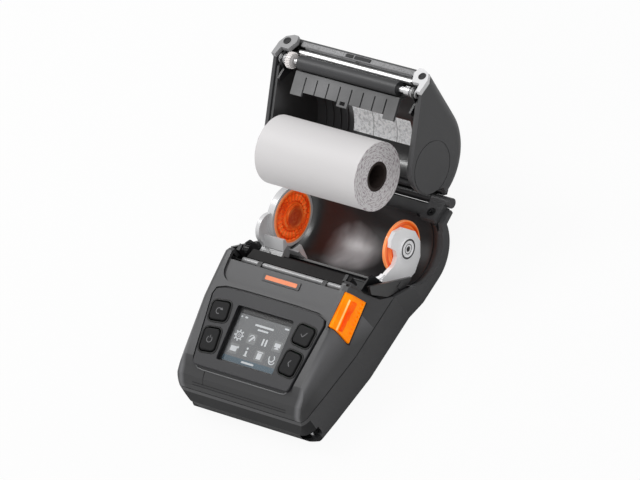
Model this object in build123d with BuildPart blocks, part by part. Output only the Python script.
from build123d import *
import os
from math import asin, atan2, cos, degrees, hypot, pi, radians, sin, tan

os.makedirs("parts", exist_ok=True)

# A portable label printer with its lid open and its label roll lifted out.
# Frame: X to the right, Y to the back, Z up, in millimetres.
# The origin is the middle of the flat face that the printer rests on.

# widths, which all follow the label stock
media_half_width = 40.4
bay_side = 20.6
case_bay_half = media_half_width + bay_side
case_mid_half = case_bay_half - 3.0
case_cheek_half = case_mid_half - 4.0
case_nose_half = case_mid_half - 7.0
lid_half_width = case_bay_half - 1.0
bay_half_width = case_bay_half - 5.6
platen_half_length = media_half_width - 0.5
frame_half = media_half_width + 10.0

# case
case_front_y = -66.0
case_cheek_y = -45.0
case_mid_y = -10.0
case_waist_y = 37.0
case_bay_y = 50.0
case_back_y = 104.0
case_corner_radius = 9.0
wall = 2.4
floor_thickness = 2.2
parting_z = 23.0
rear_ledge_z = 25.4
rear_ledge_front_y = 91.5

# label roll and its bay
roll_y = 69.0
roll_z = 27.4
media_radius = 22.0
core_radius = 9.6
core_bore_radius = 7.6
roll_lift = 50.6
roll_lift_back = 16.5
bay_radius = 24.6
liner_wall = 1.4
case_bay_radius = roll_z

# lid
hinge_y = 108.0
hinge_z = 27.0
lid_open_angle = 92.0
lid_wall = 2.4
lid_top_z = 65.3
lid_front_y = 27.0
lid_arc_y = 66.0
lid_arc_z = 29.0
lid_shoulder_radius = 8.0
leaf_y = 71.0
leaf_z = 28.0
leaf_radius = 18.5
leaf_gap = 2.6

# platen, shown where it lies with the lid shut
platen_y = 29.0
platen_z = 50.4
platen_radius = 4.5
platen_shaft_radius = 2.0
platen_bushing_radius = 3.2
platen_gear_radius = 5.3

# control panel plane: its middle is the middle of the display
panel_y = -28.55
panel_z = 43.15
panel_slope = 15.67
plate_proud = 0.8
plate_thickness = 2.2
display_half_width = 22.8
display_half_height = 18.3
display_depth = 2.0

# clearances
slide_gap = 0.35
key_gap = 0.7
running_fit = 0.05
seat_gap = 0.3

cover_draft = 11.8
screw_radius = 1.5
screw_head_radius = 2.7

lid_turn = radians(-lid_open_angle)

# The lid's side plane: its two directions are the shut lid's back and up.
lid_plane = Plane(
    origin=(0, hinge_y, hinge_z),
    x_dir=(0, cos(lid_turn), sin(lid_turn)),
    z_dir=(1, 0, 0),
)

panel_turn = radians(panel_slope)
panel_plane = Plane(
    origin=(0, panel_y, panel_z),
    x_dir=(1, 0, 0),
    z_dir=(0, -sin(panel_turn), cos(panel_turn)),
)


def save(piece, name):
    """Label a finished piece and write its STEP file."""
    piece.label = name
    export_step(piece, f"parts/{name}.step")


def both_sides(right):
    """A closed outline from its right half; the left half is its mirror."""
    return right + [(-x, y) for x, y in reversed(right)]


def face_of(points):
    """A face with straight edges, drawn in the sketch that is open."""
    with BuildLine() as outline:
        Polyline(*points, close=True)
    make_face(outline.edges())


def shut(y, z):
    """A place given with the lid shut, in the lid plane's own directions."""
    return (y - hinge_y, z - hinge_z)


def on_panel(y):
    """Distance up the control panel from its middle, for a place y."""
    return (y - panel_y) / cos(panel_turn)


def case_plan(inset):
    """The case seen from above, drawn in the sketch that is open."""
    right = [
        (case_nose_half - inset, case_front_y + inset),
        (case_cheek_half - inset, case_cheek_y),
        (case_mid_half - inset, case_mid_y),
        (case_mid_half - inset, case_waist_y),
        (case_bay_half - inset, case_bay_y),
        (case_bay_half - inset, case_back_y + wall),
    ]
    face_of(both_sides(right))
    corners = vertices().group_by(Axis.Y)[0]
    fillet(corners, case_corner_radius - inset)


# Base housing: a tub with a flat floor, a round roll bay and low side walls.
front_foot_y = case_front_y + 5.0
front_belly_z = 11.0
rear_angle = radians(-12)
rear_y = roll_y + case_bay_radius * cos(rear_angle)
rear_z = roll_z + case_bay_radius * sin(rear_angle)
trough_radius = bay_radius + liner_wall
bulkhead = 2.2
rim_radius = leaf_radius + leaf_gap
rim_half = case_bay_half - 3.4
battery_half_x = 33.0
battery_front_y = -52.0
battery_back_y = -6.0
battery_top_z = 18.4
port_y = 0.0
port_z = 11.5
port_half_y = 9.5
port_half_z = 5.0
lug_y = -59.0
lug_z = 7.0
lug_x = case_nose_half - 5.5
screw_seat_z = 3.0
bracket_inner_x = lid_half_width - 15.0
bracket_outer_x = lid_half_width - lid_wall - 0.4
bracket_front_y = 92.0
hinge_screw_x = (bracket_inner_x + bracket_outer_x) / 2
hinge_screw_y = 97.4
groove = 0.5

# The groove round the outside of the case, along the parting line.
with BuildPart() as groove_room:
    with BuildSketch(Plane.XY.offset(parting_z - groove)):
        case_plan(-2)
        with Locations((0, case_waist_y + 100)):
            Rectangle(4 * case_bay_half, 200, mode=Mode.SUBTRACT)
    extrude(amount=groove)
    with BuildSketch(Plane.XY.offset(parting_z - groove)):
        case_plan(groove)
        with Locations((0, case_front_y + 2.5 + groove - 10)):
            Rectangle(4 * case_bay_half, 20, mode=Mode.SUBTRACT)
    extrude(amount=groove, mode=Mode.SUBTRACT)

with BuildPart() as base_housing:
    with BuildSketch(Plane.XY):
        case_plan(0)
    extrude(amount=rear_ledge_z)
    with BuildSketch(Plane.YZ):
        with BuildLine():
            Polyline(
                (roll_y, 0),
                (front_foot_y, 0),
                (case_front_y + 1.0, 3.6),
                (case_front_y, front_belly_z),
                (case_front_y + 2.5, parting_z),
                (rear_ledge_front_y - 8, parting_z),
                (rear_ledge_front_y, rear_ledge_z),
                (case_back_y, rear_ledge_z),
                (case_back_y, rear_z + 1.2),
                (rear_y, rear_z),
            )
            CenterArc((roll_y, roll_z), case_bay_radius, -90, 90 + degrees(rear_angle))
        make_face()
    extrude(amount=2 * case_bay_half, both=True, mode=Mode.INTERSECT)
    add(groove_room.part, mode=Mode.SUBTRACT)
    # room for the battery, the motor and the boards
    with BuildSketch(Plane.XY.offset(floor_thickness)):
        case_plan(wall)
        with Locations((0, case_bay_y + 100)):
            Rectangle(4 * case_bay_half, 200, mode=Mode.SUBTRACT)
    extrude(amount=rear_ledge_z, mode=Mode.SUBTRACT)
    # bulkhead that follows the roll bay
    with BuildSketch(Plane.YZ):
        with Locations((roll_y, roll_z)):
            Circle(trough_radius + bulkhead)
        with Locations((roll_y - 25, parting_z / 2)):
            Rectangle(50, parting_z, mode=Mode.INTERSECT)
    extrude(amount=case_mid_half - wall, both=True)
    # the bay itself, and the round rims of its side walls
    with BuildSketch(Plane.YZ):
        with Locations((roll_y, roll_z)):
            Circle(trough_radius + 0.05)
    extrude(amount=rim_half, both=True, mode=Mode.SUBTRACT)
    with BuildSketch(Plane.YZ):
        with Locations((roll_y, leaf_z)):
            Circle(rim_radius)
        face_of([(36.5, 24), (37.5, 22.8), (45.5, 19.0), (52.0, 14.5), (69, 12), (69, 24)])
        face_of([(87.0, 20.0), (90.8, 21.5), (94.0, 27.8), (87.0, 28.0)])
    extrude(amount=2 * case_bay_half, both=True, mode=Mode.SUBTRACT)
    # holes of the hinge screws
    with BuildSketch(Plane.XY.offset(rear_ledge_z)):
        with Locations((hinge_screw_x, hinge_screw_y), (-hinge_screw_x, hinge_screw_y)):
            Circle(screw_radius)
    extrude(amount=-2.6, mode=Mode.SUBTRACT)
    # battery opening in the floor
    with BuildSketch(Plane.XY):
        with Locations((0, (battery_front_y + battery_back_y) / 2)):
            RectangleRounded(
                2 * (battery_half_x + slide_gap),
                battery_back_y - battery_front_y + 2 * slide_gap,
                3,
            )
    extrude(amount=floor_thickness, mode=Mode.SUBTRACT)
    # walls round the battery
    with BuildSketch(Plane.XY.offset(floor_thickness)):
        with Locations((0, (battery_front_y + battery_back_y) / 2)):
            Rectangle(
                2 * (battery_half_x + slide_gap + 1.4),
                battery_back_y - battery_front_y + 2 * (slide_gap + 1.4),
            )
            Rectangle(
                2 * (battery_half_x + slide_gap),
                battery_back_y - battery_front_y + 2 * slide_gap,
                mode=Mode.SUBTRACT,
            )
    extrude(amount=battery_top_z - floor_thickness)
    # socket opening in the left wall, with a shallow seat for its cover
    with BuildSketch(Plane.YZ.offset(-case_mid_half - 1)):
        with Locations((port_y, port_z)):
            RectangleRounded(2 * (port_half_y + slide_gap), 2 * (port_half_z + slide_gap), 2)
    extrude(amount=2.6, mode=Mode.SUBTRACT)
    with BuildSketch(Plane.YZ.offset(-case_mid_half - 1)):
        with Locations((port_y, port_z)):
            RectangleRounded(2 * port_half_y - 3, 2 * port_half_z - 3, 1.2)
    extrude(amount=8, mode=Mode.SUBTRACT)
    # strap recesses in the two front corners
    for side in (1, -1):
        with BuildSketch(Plane.XY.offset(lug_z - 3.2)):
            with Locations((side * (lug_x + 3.5), lug_y - 3.5)):
                Rectangle(13, 10, rotation=side * 45)
        extrude(amount=6.4, mode=Mode.SUBTRACT)
    # screw pillars
    pillar_places = [
        (side * (case_mid_half - inset), y)
        for inset, y in ((14.0, -47.0), (6.5, 30.0), (16.5, 19.5))
        for side in (1, -1)
    ]
    with BuildSketch(Plane.XY.offset(floor_thickness)):
        with Locations(*pillar_places):
            Circle(3.4)
    extrude(amount=parting_z - floor_thickness)
    for hole_radius, hole_depth in (
        (screw_head_radius + 0.3, screw_seat_z),
        (screw_radius + 0.1, parting_z - 1.2),
    ):
        with BuildSketch(Plane.XY):
            with Locations(*pillar_places):
                Circle(hole_radius)
        extrude(amount=hole_depth, mode=Mode.SUBTRACT)
save(base_housing.part, "base_housing")


# Front cover: drafted walls, a sloping top, two horns at its back corners.
def cover_outline():
    """The cover seen from the side, and on below the parting line."""
    bottom_z = parting_z - 3 * wall
    face_of(
        [
            (case_front_y + 2.5, bottom_z),
            (case_front_y + 2.5, parting_z),
            (case_front_y + 3.6, parting_z + 3.2),
            (case_front_y + 7.5, parting_z + 8.0),
            (lip_y, lip_z),
            (lip_y + 5.7, panel_z + (lip_y + 5.7 - panel_y) * tan(panel_turn)),
            (horn_y - 9, panel_z + (horn_y - 9 - panel_y) * tan(panel_turn)),
            (horn_y - 2.5, horn_z),
            (horn_y, horn_z - 1.4),
            (horn_y + 0.6, 44),
            (horn_y + 6, 31),
            (37.0, parting_z),
            (37.0, bottom_z),
        ]
    )


lip_y = -53.7
lip_z = 33.6
horn_y = 22.2
horn_z = 56.4
horn_half = case_mid_half - 13.0
band_depth = 1.4
band_front_y = 1.2
band_back_y = 15.2
shoulder_radius = 4.5
ledge = 1.3
plate_gap = 1.2
cover_height = 40.0

with BuildPart() as cover_room:
    with BuildSketch(Plane.XY.offset(parting_z)):
        case_plan(wall)
    extrude(amount=cover_height, taper=cover_draft)
    with BuildSketch(Plane.YZ):
        cover_outline()
        offset(amount=-wall, kind=Kind.INTERSECTION, mode=Mode.REPLACE)
    extrude(amount=2 * case_bay_half, both=True, mode=Mode.INTERSECT)

# the release lever's cross-section, square to the slope of the panel
lever_section = [
    (case_mid_half - 9.0, 0.9),
    (case_mid_half - 6.4, 0.5),
    (case_mid_half - 3.6, -2.6),
    (case_mid_half - 1.1, -14.6),
    (case_mid_half - 3.1, -15.0),
    (case_mid_half - 5.4, -3.6),
    (case_mid_half - 7.0, -1.4),
    (case_mid_half - 9.0, -1.1),
]
lever_gap = 0.8
lever_front = on_panel(-12.0)
lever_back = on_panel(17.0)
lever_travel = 3.0
lever_stem_v = on_panel(8.0)


def lever_plane(v):
    """A plane square to the slope, at a distance up the panel."""
    return Plane(
        origin=panel_plane.from_local_coords((0, v, 0)),
        x_dir=(1, 0, 0),
        z_dir=panel_plane.y_dir * -1,
    )


def lever_outline(front, back):
    """The lever seen from its side, square to X, in the panel's directions."""
    return [
        (front + 5.0, 3.0),
        (back - 3.0, 3.0),
        (back - 0.5, 0.0),
        (back, -15.2),
        (front, -15.2),
    ]


lever_side = Plane(
    origin=(0, panel_y, panel_z),
    x_dir=panel_plane.y_dir,
    z_dir=(1, 0, 0),
)

with BuildPart() as lever_room:
    with BuildSketch(lever_plane(lever_front - 1)):
        face_of(lever_section)
        offset(amount=lever_gap, kind=Kind.INTERSECTION, mode=Mode.REPLACE)
    extrude(amount=-(lever_back - lever_front + lever_travel + 2))
    with BuildSketch(lever_side):
        face_of(lever_outline(lever_front - lever_gap, lever_back + lever_travel + slide_gap))
    extrude(amount=2 * case_bay_half, mode=Mode.INTERSECT)

plate_outline = both_sides(
    [
        (horn_half - 6.0, on_panel(-53.0)),
        (horn_half + 0.2, on_panel(-8.6)),
        (horn_half - 1.0, on_panel(-5.0)),
        (horn_half - 7.0, on_panel(-3.0)),
        (horn_half - 25.0, on_panel(-2.4)),
    ]
)
plate_corner_radius = 3.0
key_upper = (horn_half - 10.8, on_panel(-17.8))
key_lower = (horn_half - 12.3, on_panel(-36.1))
key_upper_size = (13.4, 12.2)
key_lower_size = (12.0, 14.8)
key_lean = 6.0

with BuildPart() as front_cover:
    with BuildSketch(Plane.XY.offset(parting_z)):
        case_plan(0)
    extrude(amount=cover_height, taper=cover_draft)
    with BuildSketch(Plane.YZ):
        cover_outline()
    extrude(amount=2 * case_bay_half, both=True, mode=Mode.INTERSECT)
    shoulders = edges().filter_by(lambda e: abs(e.center().X) > horn_half + 1 and e.center().Z > 34)
    shoulders = shoulders.filter_by(lambda e: -50 < e.center().Y < horn_y - 1)
    shoulders = shoulders.filter_by(lambda e: abs(e.tangent_at(0.5).Y) > 0.8)
    fillet(shoulders, shoulder_radius)
    add(cover_room.part, mode=Mode.SUBTRACT)
    # the lowered band between the horns
    with BuildSketch(panel_plane.offset(-band_depth)):
        with Locations((0, on_panel(band_front_y) + 30)):
            Rectangle(2 * horn_half, 60)
        fillet(vertices().group_by(Axis.Y)[0], 8)
    extrude(amount=12, mode=Mode.SUBTRACT)
    # the open back that takes the print mechanism
    with BuildSketch(Plane.XY.offset(parting_z)):
        with Locations((0, band_back_y + 30)):
            Rectangle(2 * horn_half, 60)
    extrude(amount=cover_height, mode=Mode.SUBTRACT)
    with BuildSketch(Plane.XY.offset(parting_z)):
        with Locations((0, horn_y + 30 - 3.4)):
            Rectangle(2 * (frame_half + 0.4), 60)
    extrude(amount=horn_z - 8 - parting_z, mode=Mode.SUBTRACT)
    # seat of the control plate, and the opening under it
    with BuildSketch(panel_plane.offset(plate_proud - plate_thickness)):
        face_of(plate_outline)
        offset(amount=plate_gap, kind=Kind.INTERSECTION, mode=Mode.REPLACE)
    extrude(amount=12, mode=Mode.SUBTRACT)
    with BuildSketch(panel_plane.offset(-12)):
        face_of(plate_outline)
        offset(amount=-ledge, kind=Kind.INTERSECTION, mode=Mode.REPLACE)
    extrude(amount=14, mode=Mode.SUBTRACT)
    # seat of the release lever, and the slot for its stem
    add(lever_room.part, mode=Mode.SUBTRACT)
    with BuildSketch(lever_side):
        with Locations((lever_stem_v + lever_travel / 2, -8.5)):
            Rectangle(4 + lever_travel + 2 * slide_gap, 4 + 2 * slide_gap)
    extrude(amount=2 * case_bay_half, mode=Mode.SUBTRACT)
save(front_cover.part, "front_cover")

with BuildPart() as control_plate:
    with BuildSketch(panel_plane.offset(plate_proud - plate_thickness)):
        face_of(plate_outline)
        fillet(vertices().group_by(Axis.Y)[0], plate_corner_radius)
    extrude(amount=plate_thickness)
    fillet(faces().filter_by(Axis((0, 0, 0), panel_plane.z_dir)).sort_by(
        Axis((0, 0, 0), panel_plane.z_dir))[-1].edges(), 0.7)
    with BuildSketch(panel_plane.offset(plate_proud)):
        RectangleRounded(2 * display_half_width, 2 * display_half_height, 1.5)
        for side in (1, -1):
            with Locations((side * key_upper[0], key_upper[1])):
                RectangleRounded(
                    key_upper_size[0] + 2 * key_gap,
                    key_upper_size[1] + 2 * key_gap,
                    3.4,
                    rotation=-side * key_lean,
                )
            with Locations((side * key_lower[0], key_lower[1])):
                RectangleRounded(
                    key_lower_size[0] + 2 * key_gap,
                    key_lower_size[1] + 2 * key_gap,
                    3.4,
                    rotation=-side * key_lean,
                )
    extrude(amount=-2 * plate_thickness, mode=Mode.SUBTRACT)
save(control_plate.part, "control_plate")

# Display: a clear window over a framed screen, seated under the plate.
window_thickness = 1.0
window_top = plate_proud - plate_thickness
with BuildPart() as display_window:
    with BuildSketch(panel_plane.offset(window_top - window_thickness)):
        Rectangle(2 * display_half_width + 4, 2 * display_half_height + 3)
    extrude(amount=window_thickness)
save(display_window.part, "display_window")

module_thickness = 3.6
with BuildPart() as display_module:
    with BuildSketch(panel_plane.offset(window_top - window_thickness - module_thickness)):
        Rectangle(2 * display_half_width + 3, 2 * display_half_height + 2)
    extrude(amount=module_thickness)
    with BuildSketch(panel_plane.offset(window_top - window_thickness)):
        with Locations((0, -1.2)):
            Rectangle(2 * display_half_width - 2.4, 2 * display_half_height - 4.2)
    extrude(amount=-0.4, mode=Mode.SUBTRACT)
save(display_module.part, "display_module")

# Keypad board: a frame round the display, with four switch domes.
board_thickness = 1.4
board_top = window_top - 3.4
key_foot = board_top + 1.4
switch_height = 0.7
with BuildPart() as keypad_board:
    with BuildSketch(panel_plane.offset(board_top - board_thickness)):
        face_of(plate_outline)
        offset(amount=-ledge - 0.3, kind=Kind.INTERSECTION, mode=Mode.REPLACE)
        Rectangle(
            2 * (display_half_width + 2),
            2 * (display_half_height + 1.6),
            mode=Mode.SUBTRACT,
        )
    extrude(amount=board_thickness)
    with BuildSketch(panel_plane.offset(board_top)):
        with Locations(
            *[(side * x, v) for side in (1, -1) for x, v in (key_upper, key_lower)]
        ):
            Circle(2.4)
    extrude(amount=switch_height)
save(keypad_board.part, "keypad_board")

# Keys: four rubber caps that stand proud of the plate.
key_top = plate_proud + 0.9
keys = {
    "key_feed": (-1, key_upper, key_upper_size),
    "key_power": (-1, key_lower, key_lower_size),
    "key_select": (1, key_upper, key_upper_size),
    "key_back": (1, key_lower, key_lower_size),
}
for key_name, (side, place, size) in keys.items():
    with BuildPart() as key_cap:
        with BuildSketch(panel_plane.offset(key_foot)):
            with Locations((side * place[0], place[1])):
                RectangleRounded(*size, 2.8, rotation=-side * key_lean)
        extrude(amount=key_top - key_foot)
        crown = faces().sort_by(Axis((0, 0, 0), panel_plane.z_dir))[-1]
        fillet(crown.edges(), 0.8)
    save(key_cap.part, key_name)

# Badge: a bare plate in a shallow seat of its own on the band.
badge_half = 15.0
badge_height = 5.0
badge_thickness = 0.6
with BuildPart() as badge_plate:
    with BuildSketch(panel_plane.offset(-band_depth)):
        with Locations((0, on_panel(10.0))):
            RectangleRounded(2 * badge_half, badge_height, 0.6)
    extrude(amount=badge_thickness)
save(badge_plate.part, "badge_plate")

# Release lever: a ribbed thumb piece on the right shoulder, with a stem.
rib_count = 8
lever_finger_y = 21.0
hook_x = frame_half - 8.4
with BuildPart() as release_lever:
    with BuildSketch(lever_plane(lever_front)):
        face_of(lever_section)
    extrude(amount=-(lever_back - lever_front))
    with BuildSketch(lever_side):
        face_of(lever_outline(lever_front, lever_back))
    extrude(amount=2 * case_bay_half, mode=Mode.INTERSECT)
    rib_pitch = (lever_back - lever_front - 8) / rib_count
    with BuildSketch(lever_side.offset(case_mid_half + 1)):
        with Locations(
            *[(lever_front + 6 + n * rib_pitch, -8.6) for n in range(rib_count)]
        ):
            Rectangle(1.0, 9)
    extrude(amount=-3.1, mode=Mode.SUBTRACT)
    with BuildSketch(lever_side.offset(case_mid_half - 14.0)):
        with Locations((lever_stem_v, -8.5)):
            Rectangle(4, 4)
    extrude(amount=10.2)
    # finger that reaches the right latch hook
    with BuildSketch(Plane.YZ.offset(hook_x + 0.2)):
        with Locations((lever_finger_y - 6, 46.0)):
            Rectangle(12, 2.4)
    extrude(amount=5)
save(release_lever.part, "release_lever")

# Battery: slides down out of the floor.
battery_bottom_z = 0.4
with BuildPart() as battery_pack:
    with BuildSketch(Plane.XY.offset(battery_bottom_z)):
        with Locations((0, (battery_front_y + battery_back_y) / 2)):
            RectangleRounded(2 * battery_half_x, battery_back_y - battery_front_y, 2.6)
    extrude(amount=battery_top_z - battery_bottom_z)
    # finger scoop at the front edge
    with BuildSketch(Plane.YZ):
        with Locations((battery_front_y + 1, battery_bottom_z - 2)):
            Circle(4.5)
    extrude(amount=9, both=True, mode=Mode.SUBTRACT)
save(battery_pack.part, "battery_pack")

# Boards and sockets.
board_z = parting_z + 0.4
with BuildPart() as main_board:
    with BuildSketch(Plane.XY.offset(board_z - 1.6)):
        with Locations((0, -27)):
            Rectangle(2 * (case_mid_half - 18.0), 48)
    extrude(amount=1.6)
    with BuildSketch(Plane.XY.offset(board_z)):
        with Locations((-20, -14), (16, -20)):
            Rectangle(14, 14)
        with Locations((30, -8), (0, -8)):
            Rectangle(16, 5)
    extrude(amount=1.4)
    # stand-offs that rest on the walls round the battery
    with BuildSketch(Plane.XY.offset(battery_top_z)):
        with Locations(*[(x, y) for x in (-34, 34) for y in (-44, -12)]):
            Circle(1.3)
    extrude(amount=board_z - 1.6 - battery_top_z)
save(main_board.part, "main_board")

io_x = -(case_mid_half - wall)
with BuildPart() as io_connectors:
    with BuildSketch(Plane.XY.offset(port_z - 6)):
        with Locations((io_x + 9.6, port_y)):
            Rectangle(1.4, 26)
    extrude(amount=11)
    with BuildSketch(Plane.YZ.offset(io_x + 0.3)):
        with Locations((port_y - 3.6, port_z)):
            RectangleRounded(7.6, 3.2, 1.4)
        with Locations((port_y + 4.4, port_z)):
            Circle(2.9)
    extrude(amount=8.7)
    with BuildSketch(Plane.YZ.offset(io_x + 0.3)):
        with Locations((port_y - 3.6, port_z)):
            RectangleRounded(6.8, 2.4, 1.1)
        with Locations((port_y + 4.4, port_z)):
            Circle(2.2)
    extrude(amount=6, mode=Mode.SUBTRACT)
    # foot down to the floor
    with BuildSketch(Plane.XY.offset(floor_thickness)):
        with Locations((io_x + 9.6, port_y)):
            Rectangle(5, 12)
    extrude(amount=port_z - 6 - floor_thickness)
save(io_connectors.part, "io_connectors")

port_cover_thickness = 1.4
port_cover_x = -case_mid_half + port_cover_thickness
with BuildPart() as port_cover:
    with BuildSketch(Plane.YZ.offset(port_cover_x)):
        with Locations((port_y, port_z)):
            RectangleRounded(2 * port_half_y, 2 * port_half_z, 1.8)
    extrude(amount=-port_cover_thickness)
    with BuildSketch(Plane.YZ.offset(port_cover_x)):
        with Locations((port_y, port_z)):
            RectangleRounded(2 * port_half_y - 4, 2 * port_half_z - 4, 1)
    extrude(amount=0.8)
save(port_cover.part, "port_cover")

# Strap pins: a steel pin across each corner recess.
with BuildPart() as strap_pins:
    for side in (1, -1):
        with BuildSketch(Plane.XY.offset(lug_z - 3.2)):
            with Locations((side * (lug_x + 2.4), lug_y - 1.4)):
                Circle(1.2)
        extrude(amount=6.4)
save(strap_pins.part, "strap_pins")

# Mechanism frame: a tray with a cross wall and two side plates.
frame_front_y = 17.0
frame_wall = 1.2
frame_back_y = 42.6
frame_top_z = 44.0
frame_floor_z = parting_z + frame_wall
latch_y = 26.0
latch_z = 32.5
latch_shaft_radius = 1.6
drive_gear_place = (31.6, 38.6)
idler_place = (19.2, 36.5)
transfer_place = (11.7, 27.1)
pinion_place = (6.4, 20.5)
gear_x = 3.2 - frame_half
gear_width = 3.6
gear_pin_radius = 1.2
rail_place = (38.5, 27.6)
rail_radius = 1.5
rack_y = 31.4
post_radius = 0.9

with BuildPart() as mechanism_frame:
    with BuildSketch(Plane.XZ.offset(-frame_front_y)):
        with Locations((0, (parting_z + frame_top_z) / 2)):
            Rectangle(2 * frame_half, frame_top_z - parting_z)
        with Locations((gear_x, (parting_z + frame_top_z) / 2)):
            Rectangle(gear_width + 0.8, frame_top_z - parting_z, mode=Mode.SUBTRACT)
    extrude(amount=-frame_wall)
    with BuildSketch(Plane.XY.offset(parting_z)):
        with Locations((0, (frame_front_y + 41.0) / 2)):
            Rectangle(2 * frame_half, 41.0 - frame_front_y)
        with Locations((gear_x, frame_front_y + 6.5)):
            Rectangle(gear_width + 0.8, 13, mode=Mode.SUBTRACT)
    extrude(amount=frame_wall)
    for side in (1, -1):
        with BuildSketch(Plane.YZ.offset(side * (frame_half - frame_wall))):
            face_of(
                [
                    (9.0, parting_z + 0.4),
                    (frame_front_y, parting_z + 0.4),
                    (frame_front_y, parting_z),
                    (frame_back_y, parting_z),
                    (frame_back_y, parting_z + 3),
                    (40.6, parting_z + 6),
                    (37.6, 42.0),
                    (34.0, frame_top_z),
                    (frame_front_y, frame_top_z),
                    (frame_front_y, parting_z + 10),
                    (9.0, parting_z + 7),
                ]
            )
            with Locations((latch_y, latch_z)):
                Circle(latch_shaft_radius + running_fit, mode=Mode.SUBTRACT)
        extrude(amount=side * frame_wall)
    # post of the guide pinion
    with BuildSketch(Plane.XY.offset(frame_floor_z)):
        with Locations((0, rack_y)):
            Circle(post_radius)
    extrude(amount=3.2)
save(mechanism_frame.part, "mechanism_frame")


def pin(name, radius, x_from, x_to, place):
    """A plain round pin along X, at a place (y, z)."""
    with BuildPart() as piece:
        with BuildSketch(Plane.YZ.offset(x_from)):
            with Locations(place):
                Circle(radius)
        extrude(amount=x_to - x_from)
    save(piece.part, name)


frame_inner = frame_half - frame_wall
pin("guide_rail", rail_radius, -frame_inner, frame_inner, rail_place)
pin("latch_shaft", latch_shaft_radius, -frame_half, frame_half, (latch_y, latch_z))

# Gear train on the left plate, from the motor to the platen.
drive_gear_radius = 6.4
idler_radius = 6.0
transfer_radius = 5.8
pinion_radius = 2.4


def gear(name, place, radius, teeth, bore, side_plane=Plane.YZ, stub=0):
    """A spur gear along X: a root cylinder with straight-sided teeth."""
    tooth = 0.9
    tooth_half = pi * (radius - tooth) / teeth / 2
    with BuildPart() as piece:
        with BuildSketch(side_plane.offset(gear_x - gear_width / 2)):
            with Locations(place):
                Circle(radius - tooth)
                with PolarLocations(0, teeth):
                    Polygon(
                        (radius - tooth - 0.4, -tooth_half),
                        (radius - 0.05, -tooth_half * 0.55),
                        (radius - 0.05, tooth_half * 0.55),
                        (radius - tooth - 0.4, tooth_half),
                        align=None,
                    )
            with Locations(place):
                Circle(bore, mode=Mode.SUBTRACT)
        extrude(amount=gear_width)
        if stub:
            with BuildSketch(side_plane.offset(gear_x - gear_width / 2)):
                with Locations(place):
                    Circle(bore)
            extrude(amount=gear_width + stub)
    save(piece.part, name)


gear_bore = gear_pin_radius + running_fit
gear("drive_gear", drive_gear_place, drive_gear_radius, 24, gear_bore)
gear("idler_gear", idler_place, idler_radius, 22, gear_bore)
gear("transfer_gear", transfer_place, transfer_radius, 21, gear_bore)
gear("motor_pinion", pinion_place, pinion_radius, 9, 1.0, stub=3.0)

with BuildPart() as gear_pins:
    with BuildSketch(Plane.YZ.offset(-frame_inner)):
        with Locations(drive_gear_place, idler_place, transfer_place):
            Circle(gear_pin_radius)
    extrude(amount=gear_width + 0.6)
save(gear_pins.part, "gear_pins")

motor_radius = 8.5
motor_front_x = gear_x + gear_width / 2 + 0.8
motor_length = 17.0
with BuildPart() as drive_motor:
    with BuildSketch(Plane.YZ.offset(motor_front_x)):
        with Locations(pinion_place):
            Circle(motor_radius)
    extrude(amount=motor_length)
    with BuildSketch(Plane.XY.offset(floor_thickness)):
        with Locations((motor_front_x + motor_length / 2, pinion_place[0])):
            Rectangle(motor_length - 5, 9)
    extrude(amount=pinion_place[1] - motor_radius + 1.4 - floor_thickness)
    with BuildSketch(Plane.YZ.offset(motor_front_x)):
        with Locations(pinion_place):
            Circle(1.0 + running_fit)
    extrude(amount=3.0, mode=Mode.SUBTRACT)
save(drive_motor.part, "drive_motor")

# Print head: a ceramic strip on a finned sink, pushed up by a leaf spring.
head_half = media_half_width + 0.2
head_front_y = 23.2
head_back_y = 30.6
head_gap = 0.35
head_z = platen_z - platen_radius - head_gap
head_fall = 0.17
sink_bottom_z = 38.0


def head_top(y):
    """Height of the print head's face, which falls away to the back."""
    return head_z + head_fall * (platen_y - y)


strip_thickness = 1.2
with BuildPart() as print_head:
    with BuildSketch(Plane.YZ):
        face_of(
            [
                (head_front_y, head_top(head_front_y)),
                (head_back_y, head_top(head_back_y)),
                (head_back_y, head_top(head_back_y) - strip_thickness),
                (head_front_y, head_top(head_front_y) - strip_thickness),
            ]
        )
    extrude(amount=head_half, both=True)
save(print_head.part, "print_head")

with BuildPart() as heat_sink:
    with BuildSketch(Plane.YZ):
        face_of(
            [
                (head_front_y, head_top(head_front_y) - strip_thickness),
                (head_back_y, head_top(head_back_y) - strip_thickness),
                (head_back_y, sink_bottom_z),
                (19.4, sink_bottom_z),
                (19.4, 43.4),
                (head_front_y, 43.4),
            ]
        )
    extrude(amount=head_half - 0.4, both=True)
    with BuildSketch(Plane.XZ.offset(-19.4)):
        with GridLocations(5.4, 1, 14, 1):
            with Locations((0, sink_bottom_z + 1.5)):
                Rectangle(2.2, 3)
    extrude(amount=-12, mode=Mode.SUBTRACT)
    for side in (1, -1):
        with BuildSketch(Plane.YZ.offset(side * (head_half - 1))):
            with Locations((20.8, 43.6)):
                Circle(1.0)
        extrude(amount=side * (frame_inner - head_half + 1))
save(heat_sink.part, "heat_sink")

leaf_thickness = 0.5
with BuildPart() as head_spring:
    with BuildSketch(Plane.YZ):
        face_of(
            [
                (frame_front_y + frame_wall, 30.0),
                (frame_front_y + frame_wall + leaf_thickness, 30.0),
                (frame_front_y + frame_wall + leaf_thickness, 36.6),
                (27.0, sink_bottom_z - leaf_thickness),
                (27.0, sink_bottom_z),
                (25.6, sink_bottom_z),
                (frame_front_y + frame_wall, 37.1),
            ]
        )
    extrude(amount=14, both=True)
save(head_spring.part, "head_spring")

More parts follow.
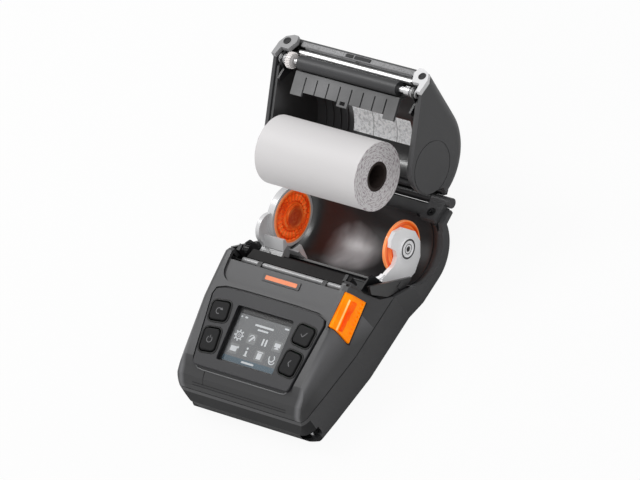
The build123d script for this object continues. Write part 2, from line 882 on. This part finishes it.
# Tear bar along the back edge of the cover, held by two clamps.
bar_place = (20.6, 46.6)
bar_radius = 1.8
bar_half = media_half_width + 1.0
pin("tear_bar", bar_radius, -bar_half, bar_half, bar_place)
clamp_x = 26.4
clamp_width = 3.4
with BuildPart() as bar_clamps:
    for side in (1, -1):
        with BuildSketch(Plane.YZ.offset(side * (clamp_x - clamp_width / 2))):
            face_of(
                [
                    (frame_front_y, frame_top_z),
                    (22.8, frame_top_z),
                    (22.8, 47.4),
                    (21.6, 48.9),
                    (frame_front_y + 0.6, 48.9),
                    (frame_front_y, 48.2),
                ]
            )
            with Locations(bar_place):
                Circle(bar_radius + 0.02, mode=Mode.SUBTRACT)
        extrude(amount=side * clamp_width)
save(bar_clamps.part, "bar_clamps")

# Latch hooks, drawn swung clear of the platen's path as the open lid leaves them.
hook_turn = 7.0
hook_width = 2.4
hook_plane = Plane(
    origin=(0, latch_y, latch_z),
    x_dir=(0, cos(radians(hook_turn)), sin(radians(hook_turn))),
    z_dir=(1, 0, 0),
)
catch_y = platen_y - latch_y
catch_z = platen_z + platen_shaft_radius + seat_gap - latch_z
with BuildPart() as latch_hooks:
    for side in (1, -1):
        with BuildSketch(hook_plane.offset(side * hook_x)):
            Circle(3.0)
            face_of(
                [
                    (-2.4, 0),
                    (-1.8, catch_z - 2),
                    (-1.0, catch_z + 1.8),
                    (catch_y + 0.6, catch_z + 1.6),
                    (catch_y + 0.4, catch_z),
                    (catch_y - platen_shaft_radius - 0.5, catch_z),
                    (catch_y - platen_shaft_radius - 0.5, catch_z - 8),
                    (2.2, 0),
                ]
            )
            Circle(latch_shaft_radius + 0.02, mode=Mode.SUBTRACT)
        extrude(amount=side * hook_width)
save(latch_hooks.part, "latch_hooks")

# Screws that hold the case together from below.
with BuildPart() as base_screws:
    for x, y in pillar_places:
        with BuildSketch(Plane.XY.offset(1.0)):
            with Locations((x, y)):
                Circle(screw_head_radius)
        extrude(amount=2.0)
        with BuildSketch(Plane.XY.offset(screw_seat_z)):
            with Locations((x, y)):
                Circle(screw_radius)
        extrude(amount=parting_z - 4.5)
        with BuildSketch(Plane.XY.offset(1.0)):
            with Locations((x, y)):
                Rectangle(3.2, 0.7)
                Rectangle(0.7, 3.2)
        extrude(amount=0.9, mode=Mode.SUBTRACT)
save(base_screws.part, "base_screws")

# Roll bay liner: a black trough with end rings and a cheek plate on each side.
end_ring_radius = 21.8
cheek_x = bay_half_width - 0.8
cheek_thickness = 2.0
liner_front_z = parting_z + 1.2
liner_back_z = roll_z + 1.2


def bay_ring(inner, outer, back_z):
    """A ring round the roll, cut off level at the front and at the back."""
    with Locations((roll_y, roll_z)):
        Circle(outer)
        Circle(inner, mode=Mode.SUBTRACT)
    with Locations((roll_y - outer, liner_front_z + 2 * outer)):
        Rectangle(2 * outer, 4 * outer, mode=Mode.SUBTRACT)
    with Locations((roll_y + outer, back_z + 2 * outer)):
        Rectangle(2 * outer, 4 * outer, mode=Mode.SUBTRACT)


with BuildPart() as compartment_liner:
    with BuildSketch(Plane.YZ):
        bay_ring(bay_radius, trough_radius, liner_back_z)
    extrude(amount=media_half_width + 1.0, both=True)
    with BuildSketch(Plane.YZ):
        bay_ring(bay_radius, trough_radius, rear_ledge_z)
    extrude(amount=bay_half_width, both=True)
    for side in (1, -1):
        with BuildSketch(Plane.YZ.offset(side * bay_half_width)):
            bay_ring(end_ring_radius, trough_radius, rear_ledge_z)
        extrude(amount=side * 1.6)
        with BuildSketch(Plane.YZ.offset(side * (bay_half_width - 5.8))):
            bay_ring(bay_radius - 0.7, bay_radius + 0.2, rear_ledge_z)
        extrude(amount=side * 1.0)
        with BuildSketch(Plane.YZ.offset(side * cheek_x)):
            face_of(
                [
                    (25.0, 40.8),
                    (27.2, 46.4),
                    (56.0, 17.4),
                    (51.5, 16.4),
                    (45.5, 20.2),
                    (38.0, 23.6),
                    (33.4, 27.0),
                ]
            )
        extrude(amount=side * cheek_thickness)
save(compartment_liner.part, "compartment_liner")

# Hinge: brackets screwed to the rear ledge, one steel shaft, knuckles on the lid.
knuckle_radius = 3.3
hinge_shaft_radius = 1.5
bracket_thickness = 3.8
bracket_top_z = rear_ledge_z + bracket_thickness
bracket_recess = 1.8
barrel_end = 1.2
lid_knuckle_from = 6.0
lid_knuckle_to = bracket_inner_x - seat_gap

with BuildPart() as hinge_brackets:
    for side in (1, -1):
        with BuildSketch(Plane.XY.offset(rear_ledge_z)):
            with Locations((side * hinge_screw_x, (bracket_front_y + hinge_y - 1.0) / 2)):
                RectangleRounded(
                    bracket_outer_x - bracket_inner_x,
                    hinge_y - 1.0 - bracket_front_y,
                    1.2,
                )
        extrude(amount=bracket_thickness)
        with BuildSketch(Plane.YZ.offset(side * bracket_inner_x)):
            with Locations((hinge_y, hinge_z)):
                Circle(knuckle_radius)
        extrude(amount=side * (lid_half_width - bracket_inner_x))
        with BuildSketch(Plane.XY.offset(rear_ledge_z)):
            with Locations((side * hinge_screw_x, hinge_screw_y)):
                Circle(screw_radius)
        extrude(amount=10, mode=Mode.SUBTRACT)
        with BuildSketch(Plane.XY.offset(bracket_top_z - bracket_recess)):
            with Locations((side * hinge_screw_x, hinge_screw_y)):
                Circle(screw_head_radius + 0.4)
        extrude(amount=10, mode=Mode.SUBTRACT)
    with BuildSketch(Plane.YZ):
        with Locations((hinge_y, hinge_z)):
            Circle(hinge_shaft_radius)
    extrude(amount=lid_half_width - barrel_end, both=True, mode=Mode.SUBTRACT)
save(hinge_brackets.part, "hinge_brackets")

with BuildPart() as hinge_screws:
    for side in (1, -1):
        with BuildSketch(Plane.XY.offset(bracket_top_z - bracket_recess)):
            with Locations((side * hinge_screw_x, hinge_screw_y)):
                Circle(screw_head_radius)
        extrude(amount=1.2)
        with BuildSketch(Plane.XY.offset(rear_ledge_z - 2.6)):
            with Locations((side * hinge_screw_x, hinge_screw_y)):
                Circle(screw_radius)
        extrude(amount=2.6 + bracket_thickness - bracket_recess)
        with BuildSketch(Plane.XY.offset(bracket_top_z - bracket_recess + 1.2)):
            with Locations((side * hinge_screw_x, hinge_screw_y)):
                Rectangle(3.2, 0.7, rotation=30)
                Rectangle(0.7, 3.2, rotation=30)
        extrude(amount=-0.8, mode=Mode.SUBTRACT)
save(hinge_screws.part, "hinge_screws")
shaft_half = lid_half_width - barrel_end
pin("hinge_shaft", hinge_shaft_radius, -shaft_half, shaft_half, (hinge_y, hinge_z))

# Roll guides: an arm on each side slides on the rail, with a free-turning disc.
guide_inner_x = media_half_width + 5.5
guide_outer_x = media_half_width + 8.5
foot_inner_x = guide_inner_x - 5.4
guide_travel = 24.0
foot_front_y = 36.9
foot_back_y = 41.4
foot_bottom_z = frame_floor_z + 0.5
foot_top_z = 30.4
disc_radius = 17.1
disc_pin_radius = 1.8
pinion_outer_radius = 2.9
rack_gap = 0.2
rack_height = 2.2
rack_width = 1.9


# The left guide's skirt: a curved strip inside the front of the roll bay.
skirt_outer = bay_radius - 0.4
skirt_inner = skirt_outer - 1.0
skirt_reach = guide_inner_x - 23.0
with BuildPart() as skirt:
    with BuildSketch(Plane.YZ.offset(-guide_inner_x - 0.1)):
        with Locations((roll_y, roll_z)):
            Circle(skirt_outer)
            Circle(skirt_inner, mode=Mode.SUBTRACT)
        with Locations((roll_y - skirt_outer, roll_z + 1.6 - skirt_outer)):
            Rectangle(2 * skirt_outer, 2 * skirt_outer, mode=Mode.INTERSECT)
    extrude(amount=2 * case_bay_half)
    with BuildSketch(Plane.XY):
        face_of(
            [
                (-guide_inner_x - 0.2, roll_y - skirt_outer - 1),
                (-skirt_reach, roll_y - skirt_outer - 1),
                (-skirt_reach + 1.0, roll_y - skirt_outer + 2.0),
                (-guide_inner_x + 1.5, roll_y - 6.5),
                (-guide_inner_x - 0.2, roll_y - 6.5),
            ]
        )
    extrude(amount=2 * roll_z, mode=Mode.INTERSECT)

lobe_place = (51.0, 37.4)
lobe_radius = 9.8
stem_top_y = 45.6
stem_top_z = 38.0
stem_width = 15.6


def guide(side, name, arm):
    """One guide: arm plate, hub, foot on the rail, wing and rack."""
    with BuildPart() as piece:
        with BuildSketch(Plane.YZ.offset(side * guide_inner_x)):
            arm()
        extrude(amount=side * (guide_outer_x - guide_inner_x))
        with BuildSketch(Plane.YZ.offset(side * guide_inner_x)):
            with Locations((roll_y, roll_z)):
                Circle(6.7)
        extrude(amount=side * 4.5)
        with BuildSketch(Plane.YZ.offset(side * (guide_inner_x + 4.5))):
            with Locations((roll_y, roll_z)):
                Circle(5.0)
                Circle(3.5, mode=Mode.SUBTRACT)
        extrude(amount=-side * 1.0, mode=Mode.SUBTRACT)
        with BuildSketch(Plane.YZ.offset(side * guide_outer_x)):
            with Locations(((foot_front_y + 42.4) / 2, (foot_bottom_z + foot_top_z) / 2)):
                Rectangle(42.4 - foot_front_y, foot_top_z - foot_bottom_z)
        extrude(amount=-side * 8.4)
        with BuildSketch(Plane.XY.offset(foot_bottom_z)):
            face_of(
                [
                    (side * guide_outer_x, 45.4),
                    (side * (guide_outer_x - 1.0), 42.4),
                    (side * (foot_inner_x + 0.1), foot_front_y),
                    (side * (foot_inner_x - 1.1), foot_front_y + 1.2),
                    (side * (guide_inner_x - 0.4), 43.4),
                    (side * guide_inner_x, 45.4),
                ]
            )
        extrude(amount=31.6 - foot_bottom_z)
        # rack, which reaches past the pinion
        reach = 3.6
        with BuildSketch(Plane.XY.offset(foot_bottom_z)):
            near = rack_y + pinion_outer_radius + rack_gap
            if side < 0:
                face_of(
                    [
                        (-guide_outer_x, near),
                        (reach, near),
                        (reach, near + rack_width),
                        (-foot_inner_x, near + rack_width),
                        (-foot_inner_x, foot_back_y),
                        (-guide_outer_x, foot_back_y),
                    ]
                )
            else:
                front = rack_y - pinion_outer_radius - rack_gap
                face_of(
                    [
                        (-reach, front - rack_width),
                        (guide_outer_x, front - rack_width),
                        (guide_outer_x, front),
                        (-reach, front),
                    ]
                )
        extrude(amount=rack_height)
        if side > 0:
            with BuildSketch(Plane.XY.offset(foot_bottom_z + rack_height - 0.01)):
                front = rack_y - pinion_outer_radius - rack_gap - rack_width
                with Locations(((foot_inner_x + guide_outer_x) / 2, (front + foot_back_y) / 2)):
                    Rectangle(guide_outer_x - foot_inner_x, foot_back_y - front)
            extrude(amount=2.3)
            with BuildSketch(Plane.XY.offset(foot_bottom_z + rack_height - 0.01)):
                with Locations(((foot_inner_x + guide_outer_x) / 2, rack_y + 3.2)):
                    Rectangle(guide_outer_x - foot_inner_x + 1, 6.0)
            extrude(amount=0.4, mode=Mode.SUBTRACT)
        # bores of the rail and the disc's pin
        with BuildSketch(Plane.YZ):
            with Locations(rail_place):
                Circle(rail_radius + running_fit)
            with Locations((roll_y, roll_z)):
                Circle(disc_pin_radius + running_fit)
        extrude(amount=side * case_bay_half, mode=Mode.SUBTRACT)
        if side < 0:
            # the disc's rim, the cup, the broad stem and the skirt
            with BuildSketch(Plane.YZ.offset(-guide_inner_x)):
                with Locations((roll_y, roll_z)):
                    Circle(disc_radius + 2.3)
                    Circle(disc_radius + 0.5, mode=Mode.SUBTRACT)
            extrude(amount=1.9)
            with BuildSketch(Plane.YZ.offset(-guide_inner_x)):
                with Locations(lobe_place):
                    Circle(lobe_radius - 1.8)
                with Locations((roll_y, roll_z)):
                    Circle(disc_radius + 3.1, mode=Mode.SUBTRACT)
            extrude(amount=-1.8, mode=Mode.SUBTRACT)
            with BuildSketch(Plane.YZ.offset(-guide_inner_x - 0.1)):
                face_of(
                    [
                        (foot_front_y, foot_bottom_z),
                        (foot_front_y, foot_top_z),
                        (40.8, 31.4),
                        (stem_top_y, stem_top_z),
                        (stem_top_y + 1.6, stem_top_z - 1.4),
                        (45.6, 26.6),
                        (42.4, foot_bottom_z),
                    ]
                )
                with Locations(rail_place):
                    Circle(rail_radius + running_fit, mode=Mode.SUBTRACT)
            extrude(amount=stem_width)
            add(skirt.part)
    save(piece.part, name)


def right_arm():
    """The right guide's swept arm, seen from the side."""
    face_of(
        [
            (69.0, 44.6),
            (75.8, 40.2),
            (81.2, 29.3),
            (80.3, 20.2),
            (74.1, 12.1),
            (64.3, 8.0),
            (57.0, 9.5),
            (50.0, 16.0),
            (46.6, 20.5),
            (45.6, foot_bottom_z),
            (41.0, foot_bottom_z),
            (42.0, 31.0),
            (49.0, 29.6),
            (55.0, 28.2),
            (60.0, 30.5),
            (61.8, 34.5),
            (60.0, 40.0),
            (63.5, 43.8),
        ]
    )
    fillet(vertices().filter_by(lambda v: v.Y > 50), 2.4)


def left_arm():
    """The left guide: a round backing plate, a front lobe and a stem."""
    with Locations((roll_y, roll_z)):
        Circle(disc_radius + 2.3)
    with Locations(lobe_place):
        Circle(lobe_radius)
    face_of(
        [
            (41.0, foot_bottom_z),
            (41.6, 36.0),
            (52.0, 38.0),
            (58.0, 18.0),
            (50.0, 17.0),
            (46.2, 21.6),
            (45.2, foot_bottom_z),
        ]
    )


guide(1, "right_guide", right_arm)
guide(-1, "left_guide", left_arm)

disc_x = guide_inner_x - 2.3
for side, disc_name in ((1, "right_disc"), (-1, "left_disc")):
    with BuildPart() as disc:
        with BuildSketch(Plane.YZ.offset(side * disc_x)):
            with Locations((roll_y, roll_z)):
                Circle(disc_radius)
        extrude(amount=side * 1.9)
        with BuildSketch(Plane.YZ.offset(side * disc_x)):
            with Locations((roll_y, roll_z)):
                Circle(disc_radius - 1.4)
                Circle(9.6, mode=Mode.SUBTRACT)
        extrude(amount=side * 0.8, mode=Mode.SUBTRACT)
        with BuildSketch(Plane.YZ.offset(side * disc_x)):
            with Locations((roll_y, roll_z)):
                with PolarLocations(0, 24):
                    Polygon(
                        (9.2, -0.4),
                        (disc_radius - 1.0, -0.4),
                        (disc_radius - 1.0, 0.4),
                        (9.2, 0.4),
                        align=None,
                    )
        extrude(amount=side * 1.0)
        with BuildSketch(Plane.YZ.offset(side * (disc_x - 1.0))):
            with Locations((roll_y, roll_z)):
                Circle(9.0)
        extrude(amount=side * 1.6)
        with BuildSketch(Plane.YZ.offset(side * (disc_x - 2.0))):
            with Locations((roll_y, roll_z)):
                Circle(7.2)
        extrude(amount=side * 1.6)
        with BuildSketch(Plane.YZ.offset(side * disc_x)):
            with Locations((roll_y, roll_z)):
                Circle(disc_pin_radius)
        extrude(amount=side * 6.6)
    save(disc.part, disc_name)

with BuildPart() as guide_pinion:
    with BuildSketch(Plane.XY.offset(foot_bottom_z)):
        with Locations((0, rack_y)):
            Circle(pinion_outer_radius - 0.6)
            with PolarLocations(0, 12):
                Rectangle(2 * pinion_outer_radius - 0.1, 0.7)
            Circle(post_radius + running_fit, mode=Mode.SUBTRACT)
    extrude(amount=rack_height - 0.2)
save(guide_pinion.part, "guide_pinion")

# Black cover over the racks, with the gap sensor on it.
rack_cover_top = latch_z - latch_shaft_radius - 0.3
rack_cover_half = media_half_width + 1.0
rack_cover_thickness = 0.8
sensor_x = -10.0
sensor_y = 32.0
with BuildPart() as rack_cover:
    with BuildSketch(Plane.YZ):
        face_of(
            [
                (22.6, frame_floor_z),
                (23.8, frame_floor_z),
                (23.8, rack_cover_top - rack_cover_thickness),
                (36.6, rack_cover_top - rack_cover_thickness),
                (36.6, rack_cover_top),
                (22.6, rack_cover_top),
            ]
        )
    extrude(amount=rack_cover_half, both=True)
save(rack_cover.part, "rack_cover")

with BuildPart() as media_sensor:
    with BuildSketch(Plane.XY.offset(rack_cover_top)):
        with Locations((sensor_x, sensor_y)):
            RectangleRounded(7.0, 4.4, 0.8)
    extrude(amount=0.9)
    with BuildSketch(Plane.XY.offset(rack_cover_top + 0.9)):
        with Locations((sensor_x, sensor_y)):
            Circle(1.3)
    extrude(amount=0.6)
save(media_sensor.part, "media_sensor")

# Label roll, shown lifted out over its bay.
roll_place = (roll_y + roll_lift_back, roll_z + roll_lift)


def sleeve(name, inner, outer, half_width):
    """A round sleeve along X at the lifted roll."""
    with BuildPart() as piece:
        with BuildSketch(Plane.YZ):
            with Locations(roll_place):
                Circle(outer)
                Circle(inner, mode=Mode.SUBTRACT)
        extrude(amount=half_width, both=True)
    save(piece.part, name)


sleeve("label_media", core_radius, media_radius, media_half_width)
sleeve("label_core", core_bore_radius, core_radius, media_half_width - 0.3)

# Lid shell: flat top, round back and a round leaf on each side.
leaf_front = (27.1, 48.5)
leaf_reach = hypot(leaf_y - leaf_front[0], leaf_z - leaf_front[1])
leaf_fall = degrees(asin(leaf_radius / leaf_reach)) - degrees(
    atan2(leaf_z - leaf_front[1], leaf_y - leaf_front[0])
)
leaf_back_angle = -19.0
lid_back_y = lid_arc_y + lid_top_z - lid_arc_z
lid_bottom_z = 27.4
lid_notch_y = 92.3


def lid_side(inset, back_y, top_z, top_radius, top_y, arc_z, bottom_z, front_y):
    """The lid's side outline, drawn with the lid shut."""
    centre = (leaf_y, leaf_z)
    radius = leaf_radius - inset
    drop = radians(leaf_fall)
    front = (front_y, leaf_front[1] + inset / cos(drop) - (front_y - leaf_front[0]) * tan(drop))
    with BuildLine() as outline:
        arc_back = CenterArc(shut(*centre), radius, leaf_back_angle, -(71 + leaf_fall))
        Polyline(
            arc_back @ 1,
            shut(*front),
            shut(front_y, top_z),
            shut(top_y, top_z),
        )
        CenterArc(shut(top_y, arc_z), top_radius, 90, -90)
        Polyline(
            shut(back_y, arc_z),
            shut(back_y, bottom_z),
            shut(lid_notch_y - inset * 0.6, bottom_z),
            arc_back @ 0,
        )
    make_face(outline.edges())


# The lid's notches over the hinge brackets.
notch_gap = 0.4
with BuildPart() as bracket_room:
    for side in (1, -1):
        with BuildSketch(lid_plane.offset(side * (bracket_inner_x - notch_gap))):
            face_of(
                [
                    shut(bracket_front_y - notch_gap, lid_bottom_z - 6),
                    shut(bracket_front_y - notch_gap, bracket_top_z + notch_gap),
                    shut(hinge_y - 5, bracket_top_z + notch_gap),
                    shut(hinge_y - 5, lid_bottom_z - 6),
                ]
            )
        extrude(amount=side * (bracket_outer_x - bracket_inner_x + 2 * notch_gap))

with BuildPart() as lid_room:
    with BuildSketch(lid_plane):
        with BuildLine() as room_line:
            Polyline(
                shut(lid_front_y - 10, 0),
                shut(lid_front_y - 10, lid_top_z - lid_wall),
                shut(lid_arc_y, lid_top_z - lid_wall),
            )
            CenterArc(shut(lid_arc_y, lid_arc_z), lid_top_z - lid_arc_z - lid_wall, 90, -90)
            Polyline(
                shut(lid_back_y - lid_wall, lid_arc_z),
                shut(lid_back_y - lid_wall, 0),
                shut(lid_front_y - 10, 0),
            )
        make_face(room_line.edges())
    extrude(amount=lid_half_width - lid_wall, both=True)
    room_edges = edges().filter_by(lambda e: abs(abs(e.center().X) - lid_half_width + lid_wall) < 0.01)
    room_edges = room_edges.filter_by(lambda e: lid_plane.to_local_coords(e.center()).Y > 6)
    room_edges = room_edges.filter_by(lambda e: lid_plane.to_local_coords(e.center()).X > -84)
    fillet(room_edges, 4.0)

with BuildPart() as lid_shell:
    with BuildSketch(lid_plane):
        lid_side(
            0,
            lid_back_y,
            lid_top_z,
            lid_top_z - lid_arc_z,
            lid_arc_y,
            lid_arc_z,
            lid_bottom_z,
            lid_front_y - 0.5,
        )
    extrude(amount=lid_half_width, both=True)
    rims = edges().filter_by(lambda e: abs(abs(e.center().X) - lid_half_width) < 0.01)
    rims = rims.filter_by(lambda e: lid_plane.to_local_coords(e.center()).Y > 10)
    rims = rims.filter_by(lambda e: lid_plane.to_local_coords(e.center()).X > -81.3)
    fillet(rims, lid_shoulder_radius)
    add(lid_room.part, mode=Mode.SUBTRACT)
    add(bracket_room.part, mode=Mode.SUBTRACT)
    # faint round step on each leaf
    for side in (1, -1):
        with BuildSketch(lid_plane.offset(side * lid_half_width)):
            with Locations(shut(leaf_y + 2.0, leaf_z)):
                Circle(leaf_radius - 1.2)
                Circle(leaf_radius - 1.7, mode=Mode.SUBTRACT)
        extrude(amount=-side * 0.3, mode=Mode.SUBTRACT)
    # knuckles, and the webs that join them to the back wall
    for side in (1, -1):
        with BuildSketch(lid_plane.offset(side * lid_knuckle_from)):
            face_of(
                [
                    shut(101.0, 29.6),
                    shut(101.0, 34.4),
                    shut(103.4, 35.2),
                    shut(110.2, 29.4),
                    shut(108.0, 27.0),
                    shut(105.6, 28.6),
                ]
            )
            Circle(knuckle_radius)
            Circle(hinge_shaft_radius + running_fit, mode=Mode.SUBTRACT)
        extrude(amount=side * (lid_knuckle_to - lid_knuckle_from))
save(lid_shell.part, "lid_shell")

# Lid liner: a gloss black inner skin with side flanges and curved ribs.
skin_y = 68.5
skin_z = 29.6
skin_radius = 27.9
skin_thickness = 1.4
skin_front_y = 31.4
flange_from = lid_half_width - 4.8
flange_to = lid_half_width - 3.1
skin_top_z = skin_z + skin_radius


def skin_band(inner, outer):
    """A strip that follows the inside of the lid, from front to back."""
    with BuildLine() as outline:
        Polyline(
            shut(skin_y, skin_z + outer),
            shut(skin_front_y, skin_z + outer),
            shut(skin_front_y, skin_z + inner),
            shut(skin_y, skin_z + inner),
        )
        CenterArc(shut(skin_y, skin_z), inner, 90, -90)
        Line(shut(skin_y + inner, skin_z), shut(skin_y + outer, skin_z))
        CenterArc(shut(skin_y, skin_z), outer, 0, 90)
    make_face(outline.edges())


rod_place = (29.8, 57.7)
rod_radius = 1.1
rod_half = lid_half_width - 13.4
with BuildPart() as lid_liner:
    with BuildSketch(lid_plane):
        skin_band(skin_radius, skin_radius + skin_thickness)
    extrude(amount=flange_to, both=True)
    for side in (1, -1):
        with BuildSketch(lid_plane.offset(side * flange_from)):
            lid_side(
                1.0,
                skin_y + skin_radius + skin_thickness,
                skin_top_z + skin_thickness,
                skin_radius + skin_thickness,
                skin_y,
                skin_z,
                lid_bottom_z + 1.1,
                skin_front_y,
            )
        extrude(amount=side * (flange_to - flange_from))
        with BuildSketch(lid_plane.offset(side * rod_half)):
            face_of(
                [
                    shut(28.2, 56.0),
                    shut(31.6, 56.0),
                    shut(33.4, skin_top_z + 0.4),
                    shut(33.4, skin_top_z + skin_thickness),
                    shut(28.2, skin_top_z + skin_thickness),
                ]
            )
            with Locations(shut(*rod_place)):
                Circle(rod_radius, mode=Mode.SUBTRACT)
        extrude(amount=-side * 1.6)
    add(bracket_room.part, mode=Mode.SUBTRACT)
    for rib_x in (-48, -42, -36, -30, 36, 44):
        with BuildSketch(lid_plane.offset(rib_x - 0.6)):
            with Locations(shut(skin_y, skin_z)):
                Circle(skin_radius + 0.3)
                Circle(skin_radius - 0.9, mode=Mode.SUBTRACT)
            with Locations(shut(skin_y + 25, skin_z + 25)):
                Rectangle(50, 50, mode=Mode.INTERSECT)
        extrude(amount=1.2)
save(lid_liner.part, "lid_liner")

sheet = 0.2
label_from = -25.0
label_width = 47.0
label_low = 42.0
label_turn = 35.0
with BuildPart() as loading_label:
    with BuildSketch(lid_plane.offset(label_from)):
        with BuildLine() as sheet_line:
            inner_arc = CenterArc(shut(skin_y, skin_z), skin_radius - sheet, label_low, label_turn)
            outer_arc = CenterArc(shut(skin_y, skin_z), skin_radius, label_low, label_turn)
            Line(inner_arc @ 0, outer_arc @ 0)
            Line(inner_arc @ 1, outer_arc @ 1)
        make_face(sheet_line.edges())
    extrude(amount=label_width)
save(loading_label.part, "loading_label")

with BuildPart() as lid_rod:
    with BuildSketch(lid_plane.offset(-rod_half)):
        with Locations(shut(*rod_place)):
            Circle(rod_radius)
    extrude(amount=2 * rod_half)
save(lid_rod.part, "lid_rod")

# Front lip under the lid's top, with a notch in its middle.
with BuildPart() as lid_lip:
    with BuildSketch(lid_plane):
        face_of(
            [
                shut(27.6, 61.4),
                shut(28.6, 60.7),
                shut(31.2, 60.7),
                shut(31.2, lid_top_z - lid_wall),
                shut(27.6, lid_top_z - lid_wall),
            ]
        )
    extrude(amount=lid_half_width - 17.0, both=True)
    with BuildSketch(lid_plane):
        with Locations(shut(27.6, 60.7)):
            Rectangle(3.2, 2.4)
    extrude(amount=2.2, both=True, mode=Mode.SUBTRACT)
save(lid_lip.part, "lid_lip")


def lid_front(y):
    """A plane square to the shut lid's length; its directions are X and up."""
    return Plane(
        origin=lid_plane.from_local_coords((y - hinge_y, -hinge_z, 0)),
        x_dir=(1, 0, 0),
        z_dir=lid_plane.x_dir * -1,
    )


# Light grey caps over the lid's two front corners.
cap_thickness = 3.2
with BuildPart() as lid_end_caps:
    for side in (1, -1):
        with BuildSketch(lid_front(lid_front_y - 0.5)):
            face_of(
                [
                    (side * lid_half_width, 48.5),
                    (side * lid_half_width, 58.0),
                    (side * (lid_half_width - 2.4), 63.0),
                    (side * (lid_half_width - 7.6), lid_top_z),
                    (side * (lid_half_width - 11.0), lid_top_z),
                    (side * (lid_half_width - 12.5), 61.0),
                    (side * (lid_half_width - 10.0), 54.4),
                    (side * (lid_half_width - 4.0), 54.4),
                    (side * (lid_half_width - 3.0), 48.5),
                ]
            )
        extrude(amount=cap_thickness)
save(lid_end_caps.part, "lid_end_caps")

# Platen: a rubber roller on a steel shaft, carried by the lid.
platen_shaft_half = lid_half_width - 4.8
bushing_from = lid_half_width - 9.4
bushing_to = lid_half_width - 4.8
bracket_x = lid_half_width - 7.6
bracket_plate = 1.6
with BuildPart() as platen_roller:
    with BuildSketch(lid_plane.offset(-platen_half_length)):
        with Locations(shut(platen_y, platen_z)):
            Circle(platen_radius)
            Circle(platen_shaft_radius, mode=Mode.SUBTRACT)
    extrude(amount=2 * platen_half_length)
save(platen_roller.part, "platen_roller")

with BuildPart() as platen_shaft:
    with BuildSketch(lid_plane.offset(-platen_shaft_half)):
        with Locations(shut(platen_y, platen_z)):
            Circle(platen_shaft_radius)
    extrude(amount=2 * platen_shaft_half)
    with BuildSketch(lid_plane.offset(guide_inner_x - 0.5)):
        with Locations(shut(platen_y, platen_z)):
            Circle(2.9)
    extrude(amount=3.8)
save(platen_shaft.part, "platen_shaft")

gear(
    "platen_gear",
    shut(platen_y, platen_z),
    platen_gear_radius,
    20,
    platen_shaft_radius,
    side_plane=lid_plane,
)

with BuildPart() as platen_bushings:
    for side in (1, -1):
        with BuildSketch(lid_plane.offset(side * bushing_from)):
            with Locations(shut(platen_y, platen_z)):
                Circle(platen_bushing_radius)
                Circle(platen_shaft_radius + running_fit, mode=Mode.SUBTRACT)
        extrude(amount=side * (bushing_to - bushing_from))
save(platen_bushings.part, "platen_bushings")

with BuildPart() as platen_brackets:
    for side in (1, -1):
        with BuildSketch(lid_plane.offset(side * bracket_x)):
            face_of(
                [
                    shut(25.0, 50.4),
                    shut(25.6, 53.4),
                    shut(27.4, 55.0),
                    shut(skin_front_y, skin_top_z),
                    shut(41.0, skin_top_z),
                    shut(40.4, 50.0),
                    shut(37.6, 38.6),
                    shut(34.6, 38.6),
                    shut(33.6, 45.6),
                    shut(29.0, 46.2),
                    shut(26.0, 47.6),
                ]
            )
            with Locations(shut(platen_y, platen_z)):
                Circle(platen_bushing_radius, mode=Mode.SUBTRACT)
        extrude(amount=side * bracket_plate)
save(platen_brackets.part, "platen_brackets")

# Label comb: a slotted guide that hangs from the lid behind the platen.
comb_half = media_half_width + 1.4
comb_slots = 8
comb_pitch = 2 * comb_half / (comb_slots + 1)
comb_top = (31.9, 45.8)
comb_end = (39.1, 32.7)
comb_length = hypot(comb_end[0] - comb_top[0], comb_end[1] - comb_top[1])
comb_dir = ((comb_end[0] - comb_top[0]) / comb_length, (comb_end[1] - comb_top[1]) / comb_length)
comb_out = (-comb_dir[1] * 1.6, comb_dir[0] * 1.6)
comb_plane = Plane(
    origin=lid_plane.from_local_coords((comb_top[0] - hinge_y, comb_top[1] - hinge_z, 0)),
    x_dir=(1, 0, 0),
    z_dir=lid_plane.y_dir * comb_dir[0] - lid_plane.x_dir * comb_dir[1],
)
with BuildPart() as media_comb:
    with BuildSketch(lid_plane):
        face_of(
            [
                shut(*comb_top),
                shut(*comb_end),
                shut(comb_end[0] + comb_out[0], comb_end[1] + comb_out[1]),
                shut(comb_top[0] + comb_out[0] + 0.9, comb_top[1] + comb_out[1] - 0.2),
                shut(36.6, 49.2),
                shut(36.6, skin_top_z),
                shut(34.8, skin_top_z),
                shut(34.8, 49.0),
            ]
        )
    extrude(amount=comb_half, both=True)
    with BuildSketch(comb_plane):
        for n in range(comb_slots):
            with Locations((-comb_half + (n + 1) * comb_pitch, comb_length * 0.62)):
                Rectangle(1.0, comb_length * 0.88)
        for n in range(comb_slots + 1):
            if n not in (0, 4, 8):
                with Locations((-comb_half + (n + 0.5) * comb_pitch, comb_length)):
                    Rectangle(comb_pitch, comb_length * 0.36)
        with Locations((0, comb_length * 0.84)):
            Rectangle(comb_pitch * 0.45, comb_length * 0.16)
    extrude(amount=6, both=True, mode=Mode.SUBTRACT)
save(media_comb.part, "media_comb")
